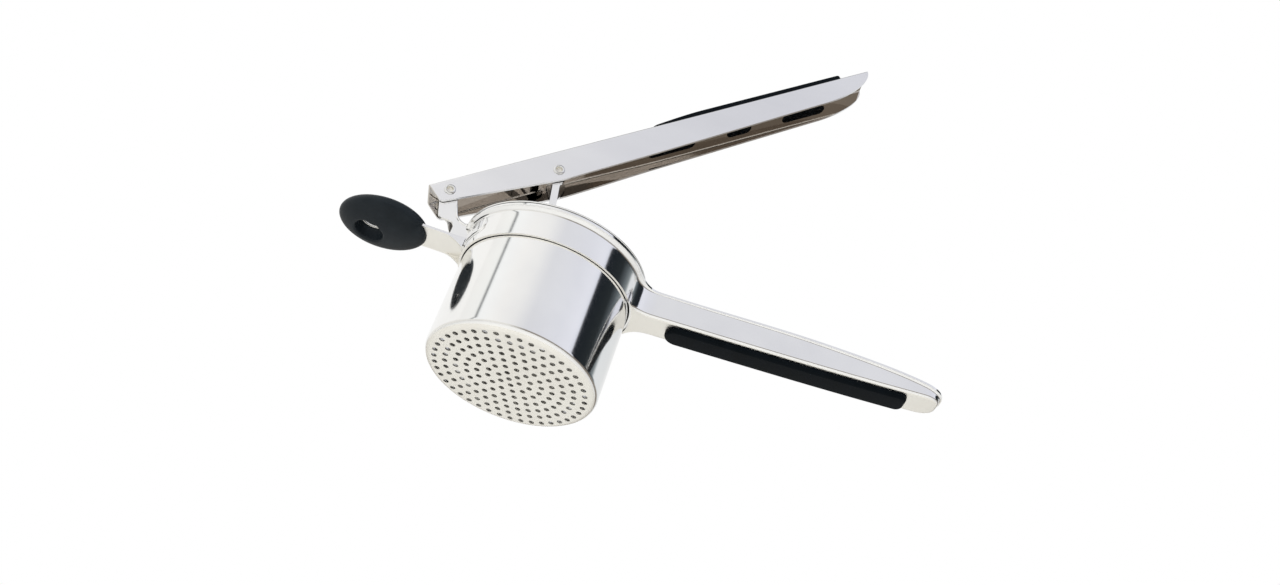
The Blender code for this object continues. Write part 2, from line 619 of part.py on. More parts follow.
root = empty("hopper_axis", (AXIS_X, 0.0, 0.0))
handle_pivot = empty("handle_pivot", PIVOT, LEVER_ANGLE, root)
plunger_pivot = empty("plunger_pivot", PLUNGER_PIVOT, PLUNGER_TURN * CLOSE_ANGLE, root)

hopper()
frame()
lower_grip()
pivot_bracket()
rest_arm()
rest_knob()
rivet("pivot_rivet", root, (PIVOT_X, PIVOT_Z))
upper_handle()
upper_grip()
rivet("plunger_rivet", handle_pivot, (PIVOT_SPAN, -PIVOT_DROP))
plunger_stem()
plunger_disc()
bpy.context.view_layer.update()
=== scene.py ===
"""Potato ricer: fine surfaces, finishes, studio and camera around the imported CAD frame.

Metres, +Z up, in the CAD's own frame. Steel pieces are built as thin formed sheets, the pads and
the knob as closed rounded forms, and every finish is procedural.
"""
import json
import math

import bmesh
import bpy
from mathutils import Matrix, Vector


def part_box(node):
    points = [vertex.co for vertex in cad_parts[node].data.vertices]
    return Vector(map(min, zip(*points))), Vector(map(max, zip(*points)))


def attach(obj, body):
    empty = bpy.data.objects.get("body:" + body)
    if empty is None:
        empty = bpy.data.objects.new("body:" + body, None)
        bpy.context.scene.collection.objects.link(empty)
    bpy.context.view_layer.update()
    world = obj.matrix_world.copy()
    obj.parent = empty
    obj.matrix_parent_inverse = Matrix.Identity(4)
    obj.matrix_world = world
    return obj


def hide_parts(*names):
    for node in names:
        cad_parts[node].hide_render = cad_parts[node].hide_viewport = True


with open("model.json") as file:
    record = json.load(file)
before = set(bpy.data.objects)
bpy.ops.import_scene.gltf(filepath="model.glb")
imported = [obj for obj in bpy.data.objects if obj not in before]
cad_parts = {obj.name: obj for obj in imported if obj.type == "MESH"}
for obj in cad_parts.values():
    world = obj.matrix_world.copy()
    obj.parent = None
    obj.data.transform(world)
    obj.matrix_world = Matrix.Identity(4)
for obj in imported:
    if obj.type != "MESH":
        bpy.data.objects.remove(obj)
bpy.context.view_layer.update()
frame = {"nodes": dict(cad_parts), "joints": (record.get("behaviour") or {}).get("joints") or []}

MM = 0.001
GAP = 0.3 * MM
SHEET = 1.2 * MM

# Places read from the frame
hopper_low, hopper_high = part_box("hopper")
frame_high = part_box("frame")[1]
joints = {joint["name"]: Vector(joint["pos_m"]) for joint in frame["joints"]}
AXIS_X = (hopper_low.x + hopper_high.x) / 2
RIM_Z = hopper_high.z
FLANGE_RADIUS = (hopper_high.x - hopper_low.x) / 2
PIVOT = joints["lever_hinge"]
PLUNGER_PIVOT = joints["plunger_hinge"]

# Hopper
FLANGE_REACH = 3.97 * MM
HOPPER_RADIUS = FLANGE_RADIUS - FLANGE_REACH
HOPPER_WALL = 0.7 * MM
HOPPER_CORNER = 3.5 * MM
HOLE_RINGS = 7
HOLE_RADIUS = 1.32 * MM
HOLE_MARGIN = 5.2 * MM
HOLE_TURN = math.radians(15.0)
HOLE_SIDES = 20
TURNED_STEPS = 160

# Frame
FRAME_SHEET = 1.1 * MM
COLLAR_RADIUS = HOPPER_RADIUS + GAP + SHEET
LIP_Z = RIM_Z - HOPPER_WALL - GAP
COLLAR_BOTTOM = RIM_Z - 16.8 * MM
LIP_FLARE = 2.3 * MM
LIP_HEIGHT = 2.4 * MM
HANDLE_REACH = frame_high.x - AXIS_X
HALF_WIDTH = 8.0 * MM
FILLET = 14.0 * MM
TIP_ROUND = 9.0 * MM
TIP_SQUARE = 0.6                      # below 1, the tip's plan is squarer than an ellipse
ROOT_DEPTH = 16.4 * MM
TIP_DEPTH = 8.5 * MM
TOP_DROP = 1.9 * MM
TOP_RISE = 2.4 * MM
TOP_CREST = 0.62
TIP_FALL = 4.4 * MM
FOLD_RADIUS = 1.6 * MM
EDGE_ROLL = (0.35 * MM, 1.2 * MM)      # rolled top edge of the handle, at its root and its tip

# Lever
LEVER_ANGLE = math.radians(41.02)
LEVER_LENGTH = 244.4 * MM
LEVER_WIDTH = 16.3 * MM
LEVER_FOLD = 1.6 * MM
PIVOT_FROM_NOSE = 8.1 * MM
PIVOT_DEPTH = 6.2 * MM
PLUNGER_TURN = math.radians(9.4)
RIVET_RADIUS = 2.1 * MM
EYE_RADIUS = 4.6 * MM
UPPER_GRIP = (116.0 * MM, 229.0 * MM)
SLOTS = ((118.2 * MM, 145.2 * MM), (164.0 * MM, 178.6 * MM), (197.5 * MM, 223.6 * MM))
SLOT_WIDTH = 6.1 * MM
LEVER_INSIDE = LEVER_WIDTH / 2 - SHEET
EAR_OUTSIDE = LEVER_INSIDE - 0.35 * MM

# Bracket with its two ears; their rolled rear edges; the tab round the collar
EAR_NECK = 8.0 * MM
EAR_FILLET = 7.0 * MM
EAR_CORNER = (2.0 * MM, 12.8 * MM)     # from the pivot, towards the cup and down
EAR_CORNER_ROUND = 2.7 * MM
EAR_STEP = 5.7 * MM
EAR_STEP_ROUND = 3.0 * MM
FAR_EAR_TRIM = ((-20.0, -30.0), (8.1, -30.0), (8.1, -18.5), (6.3, -15.5), (4.2, -12.0), (2.4, -8.5),
                (-3.0, -5.2), (-20.0, -5.2))       # millimetres from the pivot
ROLL_RADIUS = 0.62 * MM
ROLL_LEAD = ((2.4, -0.5, 3.0), (1.1, -0.1, 1.1))   # millimetres from its foot: to the cup, up, out
ROLL_END = 4.0 * MM
WING_REACH = math.radians(38.0)
WING_LOW, WING_HIGH = 52.9 * MM, 61.9 * MM
WING_PROUD, WING_SUNK, WING_BURIED = 0.75 * MM, 0.05 * MM, -0.4 * MM
WING_END = (0.84, 0.16)                # share of its reach where the ends start to round, and the rest
WING_EDGE = (0.28, 0.04)               # share over which its face rises, across and along

# Rest arm, its eye and the knob
ARM_FLANGE_REACH = 10.0 * MM
ARM_OVERLAP = 0.2 * MM
ARM_STEPS = 24
TONGUE_EYE = (6.35 * MM, 9.5 * MM)     # bore and outside radius
TONGUE_EYE_ROUND = 0.35 * MM
KNOB_TILT = math.radians(2.9)
KNOB_HALVES = (21.15 * MM, 17.0 * MM, 8.05 * MM)
KNOB_HOLE = 6.75 * MM
KNOB_HOLE_AT = -4.9 * MM
KNOB_LIP = 1.3 * MM
SLIT_CLEAR = 0.25 * MM

# Rivets
RIVET_CLEAR = 0.1 * MM
RIVET_BORE = 1.55 * MM
RIVET_HEAD = 2.8 * MM
RIVET_ROLL = 0.5 * MM
RIVET_RECESS = 0.9 * MM
RIVET_CORNER = 0.35 * MM
RIVET_SHOULDER = 0.55 * MM

# Finishes
TONE_SCALE = 38.0
WAVE_SCALE = 55.0
WAVE_DEPTH = 0.4 * MM
FINE_SHARE = 0.06
MOTTLE_SCALE = 130.0
SOFT_GRAIN = 2600.0
SOFT_BUMP = 0.25
SOFT_DEPTH = 0.05 * MM

# Camera
CAMERA_LENS = 39.30
CAMERA_PLACE = (0.0061, -0.5387, -0.2958)
CAMERA_BACK = (0.0116, -0.8304, -0.5570)
CAMERA_RIGHT = (0.9466, -0.1704, 0.2737)

hopper_place = Matrix.Translation((AXIS_X, 0.0, 0.0))
lever_place = Matrix.Translation(PIVOT) @ Matrix.Rotation(-LEVER_ANGLE, 4, "Y")
plunger_place = Matrix.Translation(PLUNGER_PIVOT) @ Matrix.Rotation(-PLUNGER_TURN, 4, "Y")


# ---------------------------------------------------------------- finishes
class Nodes:
    """A short way to add and join nodes in one tree."""

    def __init__(self, tree):
        self.tree = tree

    def add(self, kind, **values):
        node = self.tree.nodes.new(kind)
        for key, value in values.items():
            setattr(node, key, value)
        return node

    def join(self, source, target):
        self.tree.links.new(source, target)


def new_finish(name, metallic, slot_values=()):
    material = bpy.data.materials.new(name)
    material.use_nodes = True
    shader = material.node_tree.nodes["Principled BSDF"]
    shader.inputs["Metallic"].default_value = metallic
    for socket, value in slot_values:
        shader.inputs[socket].default_value = value
    return material, Nodes(material.node_tree), shader


def ramp(nodes, source, stops):
    """A colour ramp over source with (place, colour) stops."""
    node = nodes.add("ShaderNodeValToRGB")
    elements = node.color_ramp.elements
    while len(elements) > 1:
        elements.remove(elements[-1])
    elements[0].position = stops[0][0]
    elements[0].color = (*stops[0][1], 1.0)
    for place, color in stops[1:]:
        element = elements.new(place)
        element.color = (*color, 1.0)
    nodes.join(source, node.inputs["Fac"])
    return node


def spread(nodes, source, low, high):
    node = nodes.add("ShaderNodeMapRange")
    node.inputs["To Min"].default_value = low
    node.inputs["To Max"].default_value = high
    nodes.join(source, node.inputs["Value"])
    return node.outputs["Result"]


def noise(nodes, vector, scale, detail=3.0, rough=0.55):
    node = nodes.add("ShaderNodeTexNoise")
    node.inputs["Scale"].default_value = scale
    node.inputs["Detail"].default_value = detail
    node.inputs["Roughness"].default_value = rough
    nodes.join(vector, node.inputs["Vector"])
    return node.outputs["Fac"]


def stretched(nodes, scale):
    """Object coordinates stretched by scale, for marks that run one way."""
    place = nodes.add("ShaderNodeTexCoord")
    mapping = nodes.add("ShaderNodeMapping")
    mapping.inputs["Scale"].default_value = scale
    nodes.join(place.outputs["Object"], mapping.inputs["Vector"])
    return mapping.outputs["Vector"]


def bump(nodes, shader, height, strength, distance):
    node = nodes.add("ShaderNodeBump")
    node.inputs["Strength"].default_value = strength
    node.inputs["Distance"].default_value = distance
    nodes.join(height, node.inputs["Height"])
    nodes.join(node.outputs["Normal"], shader.inputs["Normal"])


def steel_finish(name, dark, light, rough, grain, marks=(1.0, 1.0, 1.0), wave=0.02):
    """Stainless steel: drifting tone, fine polishing marks in the roughness, and a slight waviness."""
    material, nodes, shader = new_finish(name, 1.0)
    vector = stretched(nodes, marks)
    tone = noise(nodes, vector, TONE_SCALE)
    fine = noise(nodes, vector, grain, detail=6.0, rough=0.65)
    colors = ramp(nodes, tone, ((0.30, dark), (0.70, light)))
    nodes.join(colors.outputs["Color"], shader.inputs["Base Color"])
    nodes.join(spread(nodes, fine, *rough), shader.inputs["Roughness"])
    broad = noise(nodes, vector, WAVE_SCALE, detail=2.0)
    height = nodes.add("ShaderNodeMath", operation="MULTIPLY_ADD")
    height.inputs[1].default_value = FINE_SHARE
    nodes.join(fine, height.inputs[0])
    nodes.join(broad, height.inputs[2])
    bump(nodes, shader, height.outputs["Value"], wave, WAVE_DEPTH)
    return material


def soft_finish(name, dark, light, rough, shine):
    """Soft-touch moulding: a faint mottle and a fine spark-eroded grain."""
    material, nodes, shader = new_finish(name, 0.0, (("Specular IOR Level", shine),))
    vector = stretched(nodes, (1.0, 1.0, 1.0))
    mottle = noise(nodes, vector, MOTTLE_SCALE, detail=4.0)
    fine = noise(nodes, vector, SOFT_GRAIN, detail=2.0)
    colors = ramp(nodes, mottle, ((0.32, dark), (0.68, light)))
    nodes.join(colors.outputs["Color"], shader.inputs["Base Color"])
    nodes.join(spread(nodes, mottle, *rough), shader.inputs["Roughness"])
    bump(nodes, shader, fine, SOFT_BUMP, SOFT_DEPTH)
    return material


polished = steel_finish("polished_sheet", (0.86, 0.86, 0.865), (0.92, 0.92, 0.915), (0.07, 0.13), 900.0)
lever_steel = steel_finish("lever_sheet", (0.80, 0.80, 0.82), (0.87, 0.87, 0.885), (0.14, 0.22), 700.0,
                           (0.25, 1.0, 1.0))
# the lever's inner faces get a darker, warmer copy of its steel: painted shade inside the channel
lever_shaded_inside_steel = steel_finish("lever_inner_painted_shade_sheet", (0.70, 0.67, 0.64), (0.76, 0.73, 0.70),
                                  (0.015, 0.04), 500.0, (0.12, 1.0, 1.0), 0.003)
satin = steel_finish("satin_sheet", (0.88, 0.86, 0.81), (0.93, 0.915, 0.87), (0.34, 0.44), 1500.0)
rivet_steel = steel_finish("rivet_sheet", (0.78, 0.78, 0.78), (0.86, 0.86, 0.85), (0.10, 0.20), 1200.0)
knob_rubber = soft_finish("knob_elastomer", (0.008, 0.012, 0.016), (0.013, 0.018, 0.023), (0.42, 0.50), 0.16)
pad_rubber = soft_finish("pad_elastomer", (0.0015, 0.003, 0.0045), (0.003, 0.005, 0.0075), (0.40, 0.50), 0.05)


# ---------------------------------------------------------------- mesh helpers
def shape(name, work, place=None):
    """An object made from work, moved into the frame by place."""
    mesh = bpy.data.meshes.new(name)
    work.to_mesh(mesh)
    work.free()
    if place is not None:
        mesh.transform(place)
    obj = bpy.data.objects.new(name, mesh)
    bpy.context.scene.collection.objects.link(obj)
    return obj


def settle(obj):
    """Applies the modifiers, so that the finished mesh is what shows."""
    bpy.context.view_layer.update()
    graph = bpy.context.evaluated_depsgraph_get()
    made = bpy.data.meshes.new_from_object(obj.evaluated_get(graph))
    obj.modifiers.clear()
    obj.data = made
    return obj


def cut(obj, cutter, operation="DIFFERENCE"):
    modifier = obj.modifiers.new("cut", "BOOLEAN")
    modifier.operation = operation
    modifier.solver = "EXACT"
    modifier.object = cutter
    settle(obj)
    bpy.data.objects.remove(cutter)


def soften(obj, width, segments=3, angle=40.0):
    """A small round on the sharp edges."""
    modifier = obj.modifiers.new("soften", "BEVEL")
    modifier.width = width
    modifier.segments = segments
    modifier.limit_method = "ANGLE"
    modifier.angle_limit = math.radians(angle)
    settle(obj)


def thicken(obj, thickness):
    """A sheet's thickness, added inwards from the modelled face."""
    modifier = obj.modifiers.new("thicken", "SOLIDIFY")
    modifier.thickness = thickness
    modifier.offset = -1.0
    settle(obj)


def present(obj, body, finishes, nodes, sharp=38.0):
    """Finish and body of a visible piece, and the CAD nodes that it stands for."""
    mesh = obj.data
    mesh.materials.clear()
    for finish in finishes:
        mesh.materials.append(finish)
    mesh.shade_smooth()
    mesh.set_sharp_from_angle(angle=math.radians(sharp))
    modifier = obj.modifiers.new("normals", "WEIGHTED_NORMAL")
    modifier.mode = "FACE_AREA"
    modifier.weight = 100
    modifier.keep_sharp = True
    settle(obj)
    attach(obj, body)
    if nodes:
        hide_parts(*nodes)
    return obj


def arc(center, radius, start, end, steps):
    turn = [math.radians(start + (end - start) * i / steps) for i in range(steps + 1)]
    return [(center[0] + radius * math.cos(a), center[1] + radius * math.sin(a)) for a in turn]


def mix(low, high, share):
    return low + (high - low) * share


def ease(share):
    share = max(0.0, min(1.0, share))
    return share * share * (3.0 - 2.0 * share)


def lathe(profile, steps=TURNED_STEPS, closed=False):
    """A profile of (radius, height) points turned about Z; a point on the axis becomes a pole."""
    work = bmesh.new()
    rings = []
    for radius, height in profile:
        if radius < 1e-7:
            rings.append([work.verts.new((0.0, 0.0, height))])
        else:
            angles = [2 * math.pi * i / steps for i in range(steps)]
            rings.append([work.verts.new((radius * math.cos(a), radius * math.sin(a), height))
                          for a in angles])
    pairs = list(zip(rings, rings[1:]))
    if closed:
        pairs.append((rings[-1], rings[0]))
    for first, second in pairs:
        for i in range(steps):
            j = (i + 1) % steps
            corners = [first[i % len(first)], first[j % len(first)],
                       second[j % len(second)], second[i % len(second)]]
            unique = list(dict.fromkeys(corners))
            if len(unique) > 2:
                work.faces.new(unique)
    bmesh.ops.recalc_face_normals(work, faces=work.faces)
    return work


def extruded(points, half, upright=True, middle=0.0):
    """A closed outline extruded by half each way: XZ along Y when upright, else XY along Z."""
    work = bmesh.new()
    sides = []
    for side in (-half, half):
        if upright:
            sides.append([work.verts.new((a, side + middle, b)) for a, b in points])
        else:
            sides.append([work.verts.new((a, b, side + middle)) for a, b in points])
    for i in range(len(points)):
        j = (i + 1) % len(points)
        work.faces.new((sides[0][i], sides[0][j], sides[1][j], sides[1][i]))
    work.faces.new(sides[0])
    work.faces.new(sides[1])
    bmesh.ops.recalc_face_normals(work, faces=work.faces)
    return work


def prism(name, points, half, place, upright=True, middle=0.0):
    return shape(name, extruded(points, half, upright, middle), place)


def face_outwards(work):
    """Turns an open sheet's faces away from the cup's axis, going by one face of its wall."""
    bmesh.ops.recalc_face_normals(work, faces=work.faces)
    work.faces.ensure_lookup_table()
    probe = work.faces[8]
    middle = probe.calc_center_median()
    if probe.normal.dot(Vector((middle.x, middle.y, 0.0))) < 0:
        bmesh.ops.reverse_faces(work, faces=work.faces)


def block(low, high, place):
    work = bmesh.new()
    bmesh.ops.create_cube(work, size=1.0)
    bmesh.ops.scale(work, vec=[b - a for a, b in zip(low, high)], verts=work.verts)
    bmesh.ops.translate(work, vec=[(a + b) / 2 for a, b in zip(low, high)], verts=work.verts)
    return shape("cutter", work, place)


def rivet_cutter(center, place):
    sides = 48
    outline = arc(center, RIVET_RADIUS + RIVET_CLEAR, 0, 360 * (sides - 1) / sides, sides - 1)
    return prism("cutter", outline, 2 * LEVER_WIDTH, place)


def rounded_plan(start, end, half, start_round, end_round, inset):
    """Half of a rounded rectangle (y from 0 at the end, round to 0 at the start), then its mirror."""
    side_steps, turn_steps = 44, 9
    left = start + inset
    right = end - inset
    wide = half - inset
    first = max(0.05 * MM, min(start_round - inset, wide))
    last = max(0.05 * MM, min(end_round - inset, wide))
    points = [(right, 0.0), (right, 0.5 * (wide - last))]
    points += arc((right - last, wide - last), last, 0, 90, turn_steps)
    for i in range(1, side_steps):
        points.append((mix(right - last, left + first, i / side_steps), wide))
    points += arc((left + first, wide - first), first, 90, 180, turn_steps)
    points += [(left, 0.5 * (wide - first)), (left, 0.0)]
    return points + [(x, -y) for x, y in reversed(points[1:-1])]


def pad(plan, levels, height):
    """A closed pad: one ring for each (inset, level), closed by strips at both faces."""
    work = bmesh.new()
    rings = []
    for inset, level in levels:
        rings.append([work.verts.new((x, y, height(x, level))) for x, y in plan(inset)])
    count = len(rings[0])
    for first, second in zip(rings, rings[1:]):
        for i in range(count):
            j = (i + 1) % count
            work.faces.new((first[i], first[j], second[j], second[i]))
    for ring in (rings[0], rings[-1]):
        for i in range(count // 2):
            corners = [ring[i], ring[i + 1], ring[-i - 1], ring[-i % count]]
            unique = list(dict.fromkeys(corners))
            if len(unique) > 2:
                work.faces.new(unique)
    bmesh.ops.recalc_face_normals(work, faces=work.faces)
    return work


def pad_levels(thick, edge, half, sink, shoulder, crown=0.0):
    """(inset, level) of a pad's rings: its side, its rounded edge, and its flat or crowned face."""
    levels = [(0.0, -sink), (0.0, shoulder * (thick - edge)), (0.0, thick - edge)]
    levels += [(edge * (1 - math.cos(a)), thick - edge + edge * math.sin(a))
               for a in [math.pi / 2 * i / 7 for i in range(1, 8)]]
    return levels + [(mix(edge, half, s), thick + crown * s) for s in (0.35, 0.7)]


# ---------------------------------------------------------------- hopper
def build_hopper():
    inner = HOPPER_RADIUS - HOPPER_WALL
    inner_corner = HOPPER_CORNER - HOPPER_WALL
    edge = HOPPER_WALL / 2
    neck = 1.2 * MM
    base = HOPPER_RADIUS - HOPPER_CORNER
    profile = [(base, HOPPER_WALL)]
    profile += arc((inner - inner_corner, HOPPER_CORNER), inner_corner, -90, 0, 8)[1:]
    profile += arc((inner + neck, RIM_Z - neck), neck, 180, 90, 6)
    profile += arc((FLANGE_RADIUS - edge, RIM_Z - edge), edge, 90, -90, 8)
    profile += arc((HOPPER_RADIUS + 0.5 * MM, RIM_Z - HOPPER_WALL - 0.5 * MM), 0.5 * MM, 90, 180, 4)
    profile += [(HOPPER_RADIUS, RIM_Z * (1 - i / 10)) for i in range(1, 9)]
    profile += arc((base, HOPPER_CORNER), HOPPER_CORNER, 0, -90, 10)
    work = lathe(profile)
    for level in (HOPPER_WALL, 0.0):
        ring = [v for v in work.verts if abs(v.co.z - level) < 1e-7 and abs(v.co.xy.length - base) < 1e-6]
        ring.sort(key=lambda v: math.atan2(v.co.y, v.co.x))
        work.faces.new(ring)
    bmesh.ops.recalc_face_normals(work, faces=work.faces)
    cup = shape("hopper_shell", work, hopper_place)
    drill = bmesh.new()
    pitch = (HOPPER_RADIUS - HOLE_MARGIN) / HOLE_RINGS
    centers = [(0.0, 0.0)]
    for ring in range(1, HOLE_RINGS + 1):
        for i in range(6 * ring):
            turn = HOLE_TURN + 2 * math.pi * i / (6 * ring)
            centers.append((ring * pitch * math.cos(turn), ring * pitch * math.sin(turn)))
    for x, y in centers:
        made = bmesh.ops.create_cone(drill, cap_ends=True, segments=HOLE_SIDES, radius1=HOLE_RADIUS,
                                     radius2=HOLE_RADIUS, depth=4 * HOPPER_WALL)
        bmesh.ops.translate(drill, vec=(x, y, 0.0), verts=made["verts"])
    cut(cup, shape("cutter", drill, hopper_place))
    present(cup, "root", (polished, satin), ("hopper",), 30.0)
    middle = Vector((AXIS_X, 0.0, 0.0))
    for face in cup.data.polygons:
        outward = (face.center - middle).xy.length
        face.material_index = 1 if face.center.z < 1.1 * MM and outward < HOPPER_RADIUS - 1.2 * MM else 0


# ---------------------------------------------------------------- frame
def span(x):
    return max(0.0, (x - COLLAR_RADIUS) / (HANDLE_REACH - COLLAR_RADIUS))


def underside(x):
    share = span(x)
    return RIM_Z - mix(ROOT_DEPTH, TIP_DEPTH, 0.8 * share + 0.2 * share ** 4)


def top_edge(x):
    share = span(x)
    rise = 0.5 - 0.5 * math.cos(math.pi * min(1.0, share / TOP_CREST))
    return RIM_Z - TOP_DROP + TOP_RISE * rise - TIP_FALL * min(1.0, share) ** 8


def half_plan():
    """Stations on the stamping's plan, front of the collar to the handle's tip: point, normal, share.

    The share is 0 on the collar and 1 on the handle, and passes smoothly through the fillet.
    """
    reach = math.sqrt((COLLAR_RADIUS + FILLET) ** 2 - (HALF_WIDTH + FILLET) ** 2)
    meet = math.degrees(math.atan2(HALF_WIDTH + FILLET, reach))
    stations = []
    collar_steps, fillet_steps, side_steps, tip_steps = 66, 18, 46, 16
    for i in range(collar_steps + 1):
        turn = math.radians(mix(180.0, meet, i / collar_steps))
        out = Vector((math.cos(turn), math.sin(turn)))
        stations.append((out * COLLAR_RADIUS, out, 0.0))
    start = len(stations) - 1
    for i in range(1, fillet_steps + 1):
        turn = math.radians(mix(180.0 + meet, 270.0, i / fillet_steps))
        inward = Vector((math.cos(turn), math.sin(turn)))
        stations.append((Vector((reach, HALF_WIDTH + FILLET)) + inward * FILLET, -inward,
                         ease(i / fillet_steps)))
    for i in range(1, side_steps + 1):
        x = mix(reach, HANDLE_REACH - TIP_ROUND, i / side_steps)
        stations.append((Vector((x, HALF_WIDTH)), Vector((0.0, 1.0)), 1.0))
    for i in range(1, tip_steps + 1):
        turn = math.pi / 2 * i / tip_steps
        across = max(0.0, math.cos(turn)) ** TIP_SQUARE
        point = Vector((HANDLE_REACH - TIP_ROUND + TIP_ROUND * math.sin(turn), HALF_WIDTH * across))
        stations.append((point, None, 1.0))
    for i, (point, out, share) in enumerate(stations):
        if out is None:
            if i == len(stations) - 1:
                out = Vector((1.0, 0.0))
            else:
                along = stations[i + 1][0] - stations[i - 1][0]
                out = Vector((-along.y, along.x)).normalized()
            stations[i] = (point, out, share)
    return stations, start


def section(x, share):
    """(outward, height) points from the rolled top edge down the wall to the folded underside."""
    along = span(x)
    flare = mix(LIP_FLARE, mix(EDGE_ROLL[0], EDGE_ROLL[1], along), share)
    tall = mix(LIP_HEIGHT, 1.1 * flare, share)
    high = mix(LIP_Z, top_edge(x), share) - FRAME_SHEET
    low = mix(COLLAR_BOTTOM, underside(x), share)
    fold = FOLD_RADIUS
    points = []
    for i in range(7):
        turn = math.pi / 2 * i / 6
        points.append((flare * (1.0 - math.sin(turn)), high - tall * (1.0 - math.cos(turn))))
    wall = high - tall
    for i in range(1, 6):
        points.append((0.0, mix(wall, low + fold, i / 6)))
    for i in range(9):
        turn = math.pi / 2 * i / 8
        folded = (-fold * (1.0 - math.cos(turn)), low + fold * (1.0 - math.sin(turn)))
        straight = (0.0, low + fold * (1.0 - i / 8))
        points.append((mix(straight[0], folded[0], share), mix(straight[1], folded[1], share)))
    return points


def build_frame():
    stations, start = half_plan()
    work = bmesh.new()
    columns = {}
    last = len(stations) - 1
    for side in (1.0, -1.0):
        for i, (point, out, share) in enumerate(stations):
            if side < 0 and i in (0, last):
                columns[(side, i)] = columns[(1.0, i)]
                continue
            column = []
            for offset, height in section(point.x, share):
                spot = point + out * offset
                column.append(work.verts.new((spot.x, side * spot.y, height)))
            columns[(side, i)] = column
    for side in (1.0, -1.0):
        for i in range(last):
            a, b = columns[(side, i)], columns[(side, i + 1)]
            for j in range(len(a) - 1):
                face = (a[j], b[j], b[j + 1], a[j + 1])
                work.faces.new(face if side > 0 else face[::-1])
    across = 14
    first_y = stations[start][0].y
    fillet_end = next(i for i, s in enumerate(stations) if s[2] >= 1.0)
    rows = []
    cap_steps = 8
    nearly = last - cap_steps
    for i in range(start, nearly + 1):
        right, left = columns[(1.0, i)][-1], columns[(-1.0, i)][-1]
        fade = max(0.0, 1.0 - (i - start) / (fillet_end - start))
        row = [right]
        for k in range(1, across):
            share = 1.0 - 2.0 * k / across
            y = right.co.y * share
            bulge = math.sqrt(COLLAR_RADIUS ** 2 - (first_y * share) ** 2) - stations[start][0].x
            x = right.co.x + bulge * fade
            row.append(work.verts.new((x, y, mix(underside(x), COLLAR_BOTTOM, fade ** 2))))
        row.append(left)
        rows.append(row)
    for a, b in zip(rows, rows[1:]):
        for k in range(across):
            work.faces.new((a[k], b[k], b[k + 1], a[k + 1]))
    tip = [columns[(-1.0, i)][-1] for i in range(nearly + 1, last + 1)]
    tip += [columns[(1.0, i)][-1] for i in range(last - 1, nearly, -1)]
    work.faces.new(rows[-1] + tip)
    face_outwards(work)
    shell = shape("frame_stamping", work, hopper_place)
    thicken(shell, FRAME_SHEET)
    soften(shell, 0.3 * MM, 3, 50.0)
    present(shell, "root", (polished, satin), ("frame",), 50.0)
    paint_undersides(shell)
    build_collar_back(math.degrees(math.atan2(first_y, stations[start][0].x)))


def paint_undersides(shell):
    """The web under the handle keeps the satin of the drawn sheet."""
    for face in shell.data.polygons:
        far = (face.center.xy - Vector((AXIS_X, 0.0))).length
        if face.normal.z < -0.85 and far > COLLAR_RADIUS - 1.5 * MM and face.center.z < RIM_Z - 5.0 * MM:
            face.material_index = 1


def build_collar_back(meet):
    """The collar's rear wall, across the mouth of the handle's channel."""
    work = bmesh.new()
    steps = 30
    reach = math.radians(meet + 2.5)
    columns = []
    for i in range(steps + 1):
        turn = mix(-reach, reach, i / steps)
        out = Vector((math.cos(turn), math.sin(turn)))
        column = []
        for k in range(7):
            bend = math.pi / 2 * k / 6
            spot = out * (COLLAR_RADIUS + LIP_FLARE * (1.0 - math.sin(bend)))
            column.append(work.verts.new((spot.x, spot.y,
                                          LIP_Z - FRAME_SHEET - LIP_HEIGHT * (1.0 - math.cos(bend)))))
        for k in range(1, 5):
            spot = out * COLLAR_RADIUS
            height = mix(LIP_Z - FRAME_SHEET - LIP_HEIGHT, underside(COLLAR_RADIUS) + 0.6 * MM, k / 4)
            column.append(work.verts.new((spot.x, spot.y, height)))
        columns.append(column)
    for a, b in zip(columns, columns[1:]):
        for k in range(len(a) - 1):
            work.faces.new((a[k], a[k + 1], b[k + 1], b[k]))
    face_outwards(work)
    wall = shape("collar_back_wall", work, hopper_place)
    thicken(wall, FRAME_SHEET)
    soften(wall, 0.25 * MM, 2, 50.0)
    present(wall, "root", (polished,), (), 50.0)


def build_lower_grip():
    low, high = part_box("lower_grip")
    start, end = low.x - AXIS_X, high.x - AXIS_X
    half = high.y
    thick = 2.7 * MM
    edge = 1.5 * MM
    levels = pad_levels(thick, edge, half, 0.05 * MM, 0.6, 0.1 * MM)

    def plan(inset):
        return rounded_plan(start, end, half, 6.0 * MM, 3.6 * MM, inset)

    work = pad(plan, levels, lambda x, level: underside(x) - 0.15 * MM - level)
    present(shape("lower_grip_pad", work, hopper_place), "root", (pad_rubber,),
            ("lower_grip",), 60.0)


